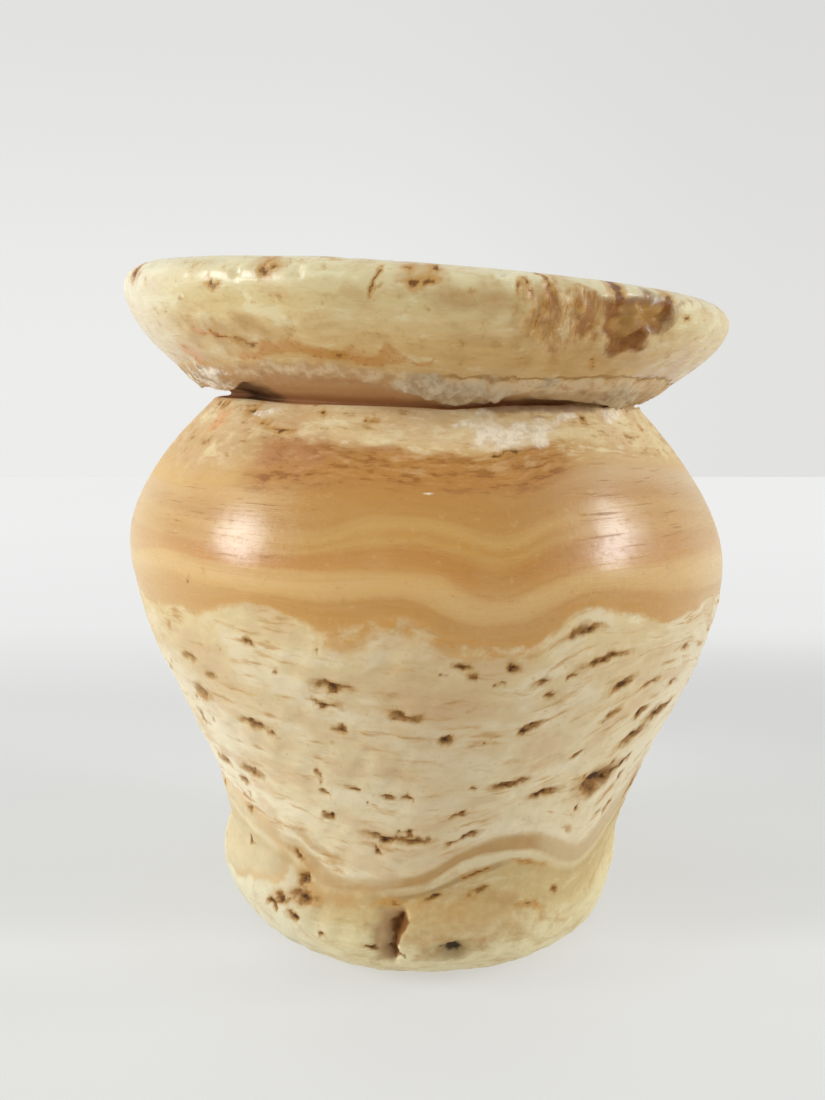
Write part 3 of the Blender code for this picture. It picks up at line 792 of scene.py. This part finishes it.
class Tree:
    """The node tree of a material or of the world."""

    def __init__(self, owner):
        owner.use_nodes = True
        self.nodes = owner.node_tree.nodes
        self.links = owner.node_tree.links

    def feed(self, socket, value):
        """Links a wire to a socket, or sets its value."""
        if isinstance(value, Wire):
            self.links.new(value.socket, socket)
        else:
            socket.default_value = value

    def node(self, kind, settings=None, inputs=None, output=0):
        """Adds a node: first its settings, a ramp's stops among them, then its sockets' values or links."""
        node = self.nodes.new(kind)
        for name, value in (settings or {}).items():
            if name == "stops":
                ramp = node.color_ramp
                for place, shade in value[1:-1]:
                    ramp.elements.new(place)
                for element, (place, shade) in zip(ramp.elements, value):
                    element.position = place
                    element.color = shade
            else:
                setattr(node, name, value)
        for key, value in (inputs or {}).items():
            self.feed(node.inputs[key], value)
        return Wire(self, node.outputs[output])

    def parts(self, vector):
        """The three parts of a vector."""
        separated = self.node("ShaderNodeSeparateXYZ", {}, {0: vector})
        return [Wire(self, output) for output in separated.socket.node.outputs]

    def stored(self, name):
        """The value kept on the surface under that name."""
        return self.node("ShaderNodeAttribute", {"attribute_name": name}, output="Fac")

    def scaled(self, vector, factors):
        """A vector times three factors."""
        return self.node("ShaderNodeVectorMath", {"operation": "MULTIPLY"}, {0: vector, 1: factors})

    def noise(self, vector, factors, detail=2.0, roughness=0.5, distortion=0.0):
        """Cloudy noise, about 0.5, of the vector times three factors."""
        inputs = {"Vector": self.scaled(vector, factors), "Scale": 1.0, "Detail": detail,
                  "Roughness": roughness, "Distortion": distortion}
        return self.node("ShaderNodeTexNoise", {}, inputs)

    def mix(self, factor, first, second):
        """Goes from the first colour to the second."""
        inputs = {0: factor, 6: first, 7: second}
        return self.node("ShaderNodeMix", {"data_type": "RGBA", "clamp_factor": True}, inputs, output=2)

    def tinted(self, shade, *tints):
        """The shade with tints over it in turn: the amount of each, then its screen colour or its wire."""
        for amount, *tint in tints:
            shade = self.mix(amount, shade, colour(*tint) if len(tint) == 3 else tint[0])
        return shade


# The stone's colour by its place in the layers, from the rest to the top: height and screen colour
LAYER_COLOURS = (
    (2.0, 226, 212, 170), (4.4, 222, 206, 160), (6.2, 204, 180, 128), (8.2, 194, 166, 114),
    (8.9, 216, 196, 152), (9.15, 183, 145, 94), (10.1, 187, 151, 98), (10.6, 222, 204, 166),
    (14.0, 223, 204, 164), (22.0, 212, 187, 144), (26.15, 216, 192, 144), (26.6, 196, 142, 66),
    (27.7, 192, 138, 66), (28.1, 206, 160, 92), (28.8, 211, 168, 103), (29.4, 207, 161, 94),
    (29.7, 194, 137, 66), (30.7, 187, 129, 55), (31.1, 196, 147, 76), (31.5, 191, 138, 63),
    (32.2, 197, 150, 80), (32.7, 187, 135, 65), (34.4, 184, 130, 60), (36.2, 200, 158, 98),
    (37.1, 220, 192, 142), (38.9, 218, 190, 142), (40.6, 206, 170, 114), (41.4, 212, 177, 118),
    (42.4, 217, 183, 121), (43.4, 217, 188, 130), (44.4, 210, 186, 130), (46.5, 218, 206, 168),
)
LAYERS_SPAN = 50.0

# Where in the layers the porous stone gives way to the golden bands
GOLDEN_FROM = (26.25, 26.6)

# Where in the layers the dull flat top begins
FLAT_TOP_FROM = (46.46, 46.5)


def layered_stone(tree, at):
    """Colour of the sound stone: the layer colours, thin laminae in the golden bands, the stripe's edges,
    painted sheen.
    """
    layer, golden, wide, x = at.layer, at.golden, at.wide, at.x
    stops = [(height / LAYERS_SPAN, colour(*screen)) for height, *screen in LAYER_COLOURS]
    shade = tree.node("ShaderNodeValToRGB", {"stops": stops}, {0: layer / LAYERS_SPAN})
    laminae = tree.noise(at.along, (0.04, 0.04, 2.2), 3.0, 0.55)
    grains = at.fine * 0.6 + at.ragged * 0.4
    upper = layer.within(32.6, 34.4, 35.2, 36.4) * at.aside.step(16.0, 130.0)
    haze = tree.mix(x.step(-7.0, -3.0), colour(226, 190, 126), colour(228, 203, 158))
    low_left = x.step(-7.0, -13.0) * golden * (1 - layer.step(27.8, 29.2))
    front = tree.stored("stripe")
    soft = layer.within(8.6, 9.2, 10.0, 10.7) * (1 - front)
    pale = layer.within(8.35, 8.5, 8.8, 9.0)
    line = layer.within(7.85, 8.1, 8.25, 8.4) * wide.step(0.38, 0.56)
    return tree.tinted(
        shade,
        (laminae.step(0.5, 0.72) * golden * 0.12, 214, 176, 114),
        (laminae.step(0.5, 0.3) * golden * 0.12, 160, 106, 44),
        (wide.step(0.44, 0.68) * golden * 0.22, 202, 160, 102),
        (grains.step(0.55, 0.7) * golden * 0.3, 160, 108, 44),
        (grains.step(0.45, 0.32) * golden * 0.22, 220, 182, 120),
        # Golden bands paler towards the sides: painted sheen of the side lamps
        (at.aside.step(150.0, 420.0) * layer.step(*GOLDEN_FROM) * 0.42, 232, 208, 158),
        (upper * 0.4, haze),
        # Lower golden band paler on the left: painted light of the left lamp
        (low_left * 0.14, 228, 196, 140),
        # Paler flanks of the lower body: painted sheen of the side lamps
        (tree.stored("flank") * (1 - layer.step(*GOLDEN_FROM)) * 0.45, 236, 228, 206),
        (tree.stored("stained_edge") * at.ragged.step(0.3, 0.6) * 0.9, 200, 143, 64),
        (soft * 0.6, 206, 184, 144),
        (pale * front * 0.75, 218, 200, 162),
        (line * front * 0.5, 140, 108, 68),
    )


def porous_stone(tree, at, shade):
    """Pinkish tan and whitish patches, and brown streaks and motes, along the veins of the lower body."""
    zone = at.porous
    patches = tree.noise(at.vein, (0.24, 0.24, 0.5), 3.0, 0.55)
    streaks = tree.noise(at.vein, (0.34, 0.34, 1.5), 4.0, 0.6)
    return tree.tinted(
        shade,
        (patches.step(0.5, 0.64) * zone * 0.5, 206, 172, 132),
        (patches.step(0.52, 0.36) * zone * 0.45, 232, 218, 188),
        (streaks.step(0.52, 0.68) * zone * 0.6, 200, 158, 100),
        (streaks.step(0.6, 0.72) * zone * 0.45, 166, 118, 62),
        # Warmer, darker front middle of the porous stone: painted shade
        (tree.stored("warm_front") * zone * 0.22, 186, 140, 84),
        (at.fine.step(0.6, 0.78) * zone * 0.5, 188, 142, 84),
    )


def shoulder_crest(tree, at, shade):
    """Red-brown stained band and, above it, flecked cream stone up to the groove."""
    wisps = at.wisps
    threads = tree.noise(at.along, (0.7, 0.7, 3.0), 3.0, 0.6)
    crest = at.layer.within(34.6, 36.0, 38.9, 39.2)
    band = at.layer.within(33.9, 34.9, 36.2, 36.9) * tree.stored("dusty")
    mauve = (tree.stored("mauve") + (at.ragged - 0.5) * 3.0).step(-0.8, 1.2)
    flecks = at.ragged * 0.4 + threads * 0.6
    grey = tree.stored("grey_crest") * 0.6
    return tree.tinted(
        shade,
        (crest * tree.stored("grey_crest") * 0.6, 196, 166, 124),
        (crest * tree.stored("pale_crest") * 0.35, 226, 208, 164),
        (wisps.step(0.5, 0.64) * crest * 0.4, 196, 148, 90),
        (wisps.step(0.48, 0.36) * crest * 0.5, 232, 216, 170),
        (at.wide.step(0.52, 0.66) * crest * 0.4, 204, 166, 124),
        (band * 0.8, 178, 122, 58),
        (threads.step(0.5, 0.64) * band * 0.75, 142, 84, 34),
        (threads.step(0.46, 0.34) * band * 0.4, 200, 152, 92),
        (mauve * 0.55, 176, 122, 84),
        (flecks.step(0.52, 0.64) * crest * 0.6, 180, 130, 66),
        (flecks.step(0.6, 0.68) * crest * 0.6, 130, 88, 42),
        (flecks.step(0.48, 0.38) * crest * (0.5 - 0.35 * band) * (1 - grey), 234, 218, 180),
    )


def mottled_ends(tree, at, shade):
    """Caramel, olive and pale mottling, amber smudges and motes in the rim and the foot, and painted light
    on their left.
    """
    rim, foot, wisps = at.rim, at.foot, at.wisps
    smudges = at.ragged * 0.6 + at.fine * 0.4
    return tree.tinted(
        shade,
        (wisps.step(0.48, 0.66) * rim * 0.5, 190, 150, 90),
        (wisps.step(0.48, 0.34) * rim * 0.5, 232, 222, 182),
        (wisps.step(0.48, 0.68) * foot * 0.5, 188, 150, 94),
        (wisps.step(0.46, 0.32) * foot * 0.35, 226, 214, 176),
        # Left of the rim paler and left of the foot greyer: painted light, the cooler tone of the left lamp
        (at.x.step(-13.0, -19.0) * rim * 0.4, 236, 232, 216),
        (at.x.step(-5.0, -10.0) * foot * 0.4, 204, 200, 184),
        (smudges.step(0.52, 0.68) * (rim + foot * 0.6) * 0.5, 186, 142, 72),
        (smudges.step(0.6, 0.72) * rim * 0.5, 146, 100, 46),
    )


def stains(tree, at, shade):
    """Amber ring of the foot's lobe, tan and orange patches, and brown stains."""
    fine, ragged = at.fine, at.ragged
    lobe = tree.stored("lobe") + (ragged - 0.5) * 0.5
    tan = tree.stored("tan") + (ragged - 0.5) * 4.0
    orange = tree.stored("orange") + (ragged - 0.5) * 2.4 + (fine - 0.5) * 1.2
    amber = tree.mix(at.x.step(-9.0, -13.0), colour(194, 132, 60), colour(214, 152, 98))
    stain = tree.stored("stain") + (fine - 0.5) * 2.4 + (ragged - 0.5) * 1.8
    return tree.tinted(
        shade,
        (lobe.step(-0.2, 0.6) * 0.5, 208, 184, 138),
        (lobe.within(-0.05, 0.12, 0.15, 0.5) * 0.5, 200, 160, 104),
        (tan.step(-1.2, 1.4) * 0.65, 182, 139, 80),
        (orange.step(-1.0, 1.0) * 0.7, amber),
        (orange.step(-0.8, 0.4) * fine.step(0.54, 0.68) * 0.5, 156, 100, 42),
        (stain.step(-2.6, 0.2) * 0.7, 188, 136, 62),
        (stain.step(-0.2, 1.0) * 0.88, 106, 58, 18),
    )


def broken_places(tree, at, shade):
    """The flake off the rim, amber brown at its edges and olive inside, and the streaky chipped part."""
    flake = tree.stored("flake") + (at.ragged - 0.5) * 0.9 + (at.fine - 0.5) * 0.6
    chipped = (tree.stored("chipped") + (at.ragged - 0.5) * 1.2).step(-0.4, 0.8)
    streaked = tree.noise(at.spot, (1.3, 1.3, 0.45), 4.0, 0.65)
    return tree.tinted(
        shade,
        (flake.step(-0.5, 0.3) * 0.85, 124, 68, 8),
        (flake.step(0.2, 0.9) * 0.75, 178, 134, 66),
        (chipped * 0.6, 184, 132, 64),
        (streaked.step(0.5, 0.62) * chipped * 0.7, 148, 92, 38),
        (streaked.step(0.47, 0.36) * chipped * 0.7, 222, 196, 150),
    )


def crusts(tree, at, shade):
    """Pinkish lining low on the rim, with a soft dark line at its top on the right, pale crusts, and the
    rim's underside darkened: partly stain, partly painted shade.
    """
    fine, ragged, right = at.fine, at.ragged, at.x.step(-1.0, 2.0)
    lining = tree.stored("lining")
    lumpy = tree.mix((ragged + right * 0.12).step(0.42, 0.66), colour(190, 150, 106), colour(216, 192, 154))
    lumpy = tree.tinted(lumpy, (fine.step(0.56, 0.76) * 0.45, 154, 114, 72))
    below = lining.step(0.65, 1.0)
    edge = (lining + (ragged - 0.5) * 0.12).within(-0.16, -0.04, 0.0, 0.12) * right
    high = tree.stored("bed").step(38.6, 39.0)
    grey = tree.mix(high, colour(214, 192, 162), colour(166, 142, 112))
    ledge = tree.mix(at.x.step(-6.0, -10.0), colour(198, 180, 148), colour(238, 226, 206))
    white = tree.mix(high, colour(244, 232, 210), ledge)
    patchy = (fine * 0.5 + ragged * 0.5).step(0.38, 0.6)
    return tree.tinted(
        shade,
        ((lining + (ragged - 0.5) * 0.3).step(-0.05, 0.3) * 0.85, lumpy),
        # The groove's upper wall under the rim darker, more so on the right: partly stain, partly painted
        # shade
        (below * tree.stored("under_rim") * 0.75, 178, 132, 86),
        (below * right * 0.5, 150, 114, 66),
        (edge * 0.75, 150, 106, 48),
        (at.crusted * 0.85, tree.mix(patchy, grey, white)),
    )


def dark_places(tree, at, shade):
    """The groove, the nick, the hollow and the pits: stains and dirt round and in them, and painted shade
    inside them.
    """
    fine, ragged = at.fine, at.ragged
    groove = tree.stored("groove") + (ragged - 0.5) * 0.25
    soiled = tree.stored("soiled") + (ragged - 0.5) * 0.8
    recess = tree.stored("dark_recess") + (ragged - 0.5) * 1.2
    nick = tree.stored("nick") + (ragged - 0.5) * 0.3
    dark = tree.stored("nick_dark") + (ragged - 0.5) * 0.3
    hollow = tree.stored("hollow") + (ragged - 0.5) * 0.8
    streaks = tree.noise(at.vein, (1.2, 1.2, 3.4), 3.0, 0.6)
    hole = tree.stored("hole") + (streaks - 0.5) * 1.8 + (fine - 0.5) * 1.0
    faint = 1 - at.x.step(-7.0, -14.0) * at.porous * 0.45
    return tree.tinted(
        shade,
        # Groove darker brown towards its depth: partly dirt, partly painted shade
        (groove.step(0.02, 0.4) * 0.9, 176, 130, 84),
        (groove.step(0.4, 1.0), 146, 96, 56),
        # Shoulder just under the groove on the right darker: painted shade, partly dirt
        (soiled.step(0.2, 0.9) * 0.7, 134, 100, 76),
        # Near-black painted shadow deep in the recess at the front left
        (recess.step(-1.2, 0.9) * 0.85, 84, 54, 28),
        (nick.step(0.0, 0.4) * 0.75, 202, 162, 116),
        # Dark strip down the nick's right wall: partly stain, partly painted shadow
        (dark.step(0.1, 0.9) * 0.95, 116, 70, 20),
        (hollow.step(-1.2, 0.5) * 0.6, 158, 124, 72),
        # Near-black core of the hollow: painted shade
        (hollow.step(0.5, 0.9) * 0.95, 50, 32, 13),
        (hole.step(-2.6, 0.2) * 0.65, 182, 138, 72),
        (hole.step(-0.7, 0.5) * faint * 0.85, 136, 88, 30),
        # Near-black cores of the pits, inside their brown stain: painted shade
        (hole.step(0.35, 1.05) * faint * 0.95, 66, 34, 4),
    )


def stone_zones(tree):
    """What colour and gloss share: place, height in the layers, noises, and zones from 0 to 1."""
    spot = tree.scaled(tree.node("ShaderNodeTexCoord", output="Object"), (1 / MM,) * 3)
    x, y, _ = tree.parts(spot)
    bed = tree.stored("bed")
    along = tree.node("ShaderNodeCombineXYZ", inputs={0: x, 1: y, 2: bed})
    wide = tree.noise(spot, (0.22,) * 3, 2.0)
    ragged = tree.noise(spot, (0.95,) * 3, 3.0, 0.6)
    layer = bed + (wide - 0.5) * 0.5 + (ragged - 0.5) * 0.8 * bed.within(23.5, 26.0, 27.0, 29.0)
    return SimpleNamespace(
        spot=spot, x=x, aside=x * x, bed=bed, along=along, wide=wide, ragged=ragged, layer=layer,
        vein=tree.node("ShaderNodeCombineXYZ", inputs={0: x, 1: y, 2: tree.stored("vein")}),
        fine=tree.noise(spot, (2.8,) * 3, 3.0, 0.65),
        wisps=tree.noise(along, (0.34, 0.34, 1.0), 4.0, 0.64, 0.3),
        scratches=tree.noise(spot, (0.25, 0.25, 7.0), 3.0, 0.65),
        golden=layer.within(*GOLDEN_FROM, 33.8, 35.6),
        porous=(1 - layer.step(*GOLDEN_FROM)) * bed.step(9.8, 10.8),
        rim=bed.step(39.4, 40.2),
        foot=1 - layer.step(7.6, 8.6),
        crusted=(tree.stored("crust") + (ragged - 0.5) * 2.4).step(-0.3, 0.8),
    )


def stone_colour(tree, at):
    """The stone's colour: sound stone, then its stains, broken places, crusts and pits, then scratches."""
    shade = layered_stone(tree, at)
    for piece in (porous_stone, shoulder_crest, mottled_ends, stains, broken_places, crusts, dark_places):
        shade = piece(tree, at, shade)
    handled = at.aside.within(40.0, 90.0, 200.0, 330.0) * at.golden * at.layer.step(29.9, 30.7)
    return tree.tinted(shade, (at.scratches.step(0.6, 0.65) * handled * 0.6, 150, 98, 46))


def worn_gloss(tree, at):
    """Shares of the polish left by scratches, by stains and breaks, and by the sides and the flat top."""
    worn = at.rim * at.ragged.step(0.45, 0.6) * 0.35 + tree.stored("stain").step(-1.5, 0.2) * 0.6
    worn = worn + tree.stored("flake").step(-1.2, 0.2) * 0.5 + tree.stored("chipped").step(-1.2, 0.2) * 0.4
    scored = at.scratches.step(0.5, 0.62) * 0.4 + at.scratches.step(0.62, 0.65) * 0.25
    scored = scored + at.fine.step(0.5, 0.66) * 0.35
    gloss = tree.node("ShaderNodeMath", {"operation": "MAXIMUM"}, {0: 0.85 - worn, 1: 0.0})
    sides = (1 - at.aside.step(210.0, 420.0) * 0.6) * (1 - at.x.step(-5.0, -10.0) * 0.22)
    sides = sides * (1 - at.x.step(5.0, 10.0) * 0.1) * (1 - at.bed.step(*FLAT_TOP_FROM))
    return 1 - scored, gloss, sides


def stone_material():
    """Banded calcite: coloured by layers, pores, stains and crusts; polished above and matte below."""
    material = bpy.data.materials.new("calcite_banded")
    tree = Tree(material)
    at = stone_zones(tree)
    polish = at.golden + at.rim * 0.9 - at.crusted - tree.stored("lining").step(-0.1, 0.1)
    polish = (polish - tree.stored("groove")).step(0.1, 1.0)
    unscored, sound, sides = worn_gloss(tree, at)
    roughness = 0.62 - 0.22 * polish + (at.fine - 0.5) * 0.1 + at.bed.step(*FLAT_TOP_FROM) * 0.22

    # Grain of the porous stone and the crusts, and the faint texture of the polish
    relief = at.fine * (1.2 - polish + 0.9 * at.golden) + at.scratches * polish * 0.8
    normal = tree.node("ShaderNodeBump", {}, {"Strength": 0.5, "Distance": 0.06 * MM, "Height": relief})

    shader = tree.nodes["Principled BSDF"]
    shader.subsurface_method = "BURLEY"
    inputs = {
        "Base Color": stone_colour(tree, at), "Coat Weight": polish * unscored * sound * sides,
        "Roughness": roughness, "Normal": normal, "IOR": 1.52, "Specular IOR Level": 0.22,
        "Coat Roughness": 0.23, "Coat IOR": 1.55, "Subsurface Weight": 0.25,
        "Subsurface Radius": (1.0, 0.88, 0.7), "Subsurface Scale": 0.9 * MM,
    }
    for name, value in inputs.items():
        tree.feed(shader.inputs[name], value)
    return material


TABLE_BACK = 346.0
TABLE_FRONT = -520.0
TABLE_HALF_WIDTH = 620.0
TABLE_DROP = 0.02

# How light the table is by its distance behind the pot: a soft band of shade lies across it
TABLE_SHADES = (
    (-60.0, 171), (-14.0, 175), (-8.0, 183), (-3.0, 174), (4.0, 170), (14.0, 171), (30.0, 168),
    (50.0, 164), (66.0, 172), (90.0, 183), (200.0, 189), (346.0, 191),
)
TABLE_SHADES_FROM = TABLE_SHADES[0][0]
TABLE_SHADES_SPAN = TABLE_SHADES[-1][0] - TABLE_SHADES_FROM


def table_material():
    """White table: its light by depth behind the pot, with a darker band across it on the right."""
    material = bpy.data.materials.new("table_white")
    tree = Tree(material)
    place = tree.node("ShaderNodeTexCoord", output="Object")
    x, y, _ = tree.parts(place)
    cloud = tree.noise(place, (6.0,) * 3, 2.0)
    stops = [((depth - TABLE_SHADES_FROM) / TABLE_SHADES_SPAN, colour(light, light, light - 1))
             for depth, light in TABLE_SHADES]
    share = (y / MM - TABLE_SHADES_FROM) / TABLE_SHADES_SPAN
    glow = tree.node("ShaderNodeValToRGB", {"stops": stops}, {0: share})
    band = (y / MM).within(22.0, 46.0, 58.0, 86.0) * (x / MM).step(-10.0, 30.0)
    shader = tree.nodes["Principled BSDF"]
    inputs = {
        "Base Color": tree.mix(cloud, colour(150, 150, 149), colour(154, 154, 153)),
        "Emission Color": tree.tinted(glow, (band * 0.5, 142, 142, 141)),
        "Emission Strength": 1.0, "Roughness": 0.6, "Specular IOR Level": 0.2,
    }
    for name, value in inputs.items():
        tree.feed(shader.inputs[name], value)
    return material


def make_table():
    """Pale table top under the pot, with a straight back edge."""
    mesh = bpy.data.meshes.new("table_top")
    left, right = -TABLE_HALF_WIDTH * MM, TABLE_HALF_WIDTH * MM
    front, back = TABLE_FRONT * MM, TABLE_BACK * MM
    corners = ((left, front), (right, front), (right, back), (left, back))
    mesh.from_pydata([(x, y, -TABLE_DROP * MM) for x, y in corners], [], [(0, 1, 2, 3)])
    table = in_scene("table_top", mesh)
    mesh.materials.append(table_material())


def make_world():
    """White room, a little brighter low down, and darker in front of the table."""
    world = bpy.data.worlds.new("white_room")
    bpy.context.scene.world = world
    tree = Tree(world)
    x, y, z = tree.parts(tree.node("ShaderNodeTexCoord", output="Generated"))
    shade = tree.mix(z.step(0.0, 0.35), colour(237, 237, 235), colour(225, 225, 223))
    shade = tree.tinted(
        shade,
        (x.step(-0.1, 0.35) * y.step(0.3, 0.8) * 0.5, 214, 214, 212),
        (y.step(0.5, -0.6), 190, 190, 187),
    )
    tree.feed(tree.nodes["Background"].inputs["Color"], shade)
    tree.nodes["Background"].inputs["Strength"].default_value = 1.0


LAMP_COLOUR = (0.92, 0.985, 1.03)
LAMPS_AIM_HEIGHT = 30.0


def make_lamp(name, azimuth, elevation, distance, size, radiance, roll):
    """A soft oval lamp facing the pot's middle, rolled about that line; power is radiance, area and pi."""
    lamp = bpy.data.lights.new(name, "AREA")
    lamp.shape = "ELLIPSE"
    lamp.size, lamp.size_y = size[0] * MM, size[1] * MM
    lamp.energy = radiance * lamp.size * lamp.size_y * math.pi / 4 * math.pi
    lamp.color = LAMP_COLOUR
    item = in_scene(name, lamp)
    turn, lift = math.radians(azimuth), math.radians(elevation)
    x = distance * math.sin(turn) * math.cos(lift)
    y = -distance * math.cos(turn) * math.cos(lift)
    item.location = (x * MM, y * MM, (LAMPS_AIM_HEIGHT + distance * math.sin(lift)) * MM)
    facing = Matrix.Rotation(turn, 4, "Z") @ Matrix.Rotation(math.pi / 2 - lift, 4, "X")
    item.rotation_euler = (facing @ Matrix.Rotation(math.radians(roll), 4, "Z")).to_euler()
    item.visible_camera = False


CAMERA_PLACE = (-1.0, -77.4, 40.6)
CAMERA_PITCH = 9.46
CAMERA_LENS = 34.36


def make_camera():
    """Close camera, a little above the rim's edge, tipped down."""
    camera = bpy.data.cameras.new("camera")
    camera.lens = CAMERA_LENS
    camera.sensor_width = 36.0
    camera.clip_start = 0.005
    item = in_scene("camera", camera)
    item.location = tuple(c * MM for c in CAMERA_PLACE)
    item.rotation_euler = (math.radians(90.0 - CAMERA_PITCH), 0.0, 0.0)
    bpy.context.scene.camera = item


pot = make_pot()
pot.data.materials.append(stone_material())
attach(pot, "root")
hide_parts("kohl_pot")
make_table()
make_world()
make_lamp("left_softbox", -74.0, 20.5, 900.0, (320.0, 520.0), 14.2, 26.0)
make_lamp("right_softbox", 79.0, 23.5, 900.0, (230.0, 520.0), 13.5, -38.0)
make_camera()
bpy.context.scene.view_settings.view_transform = "Standard"
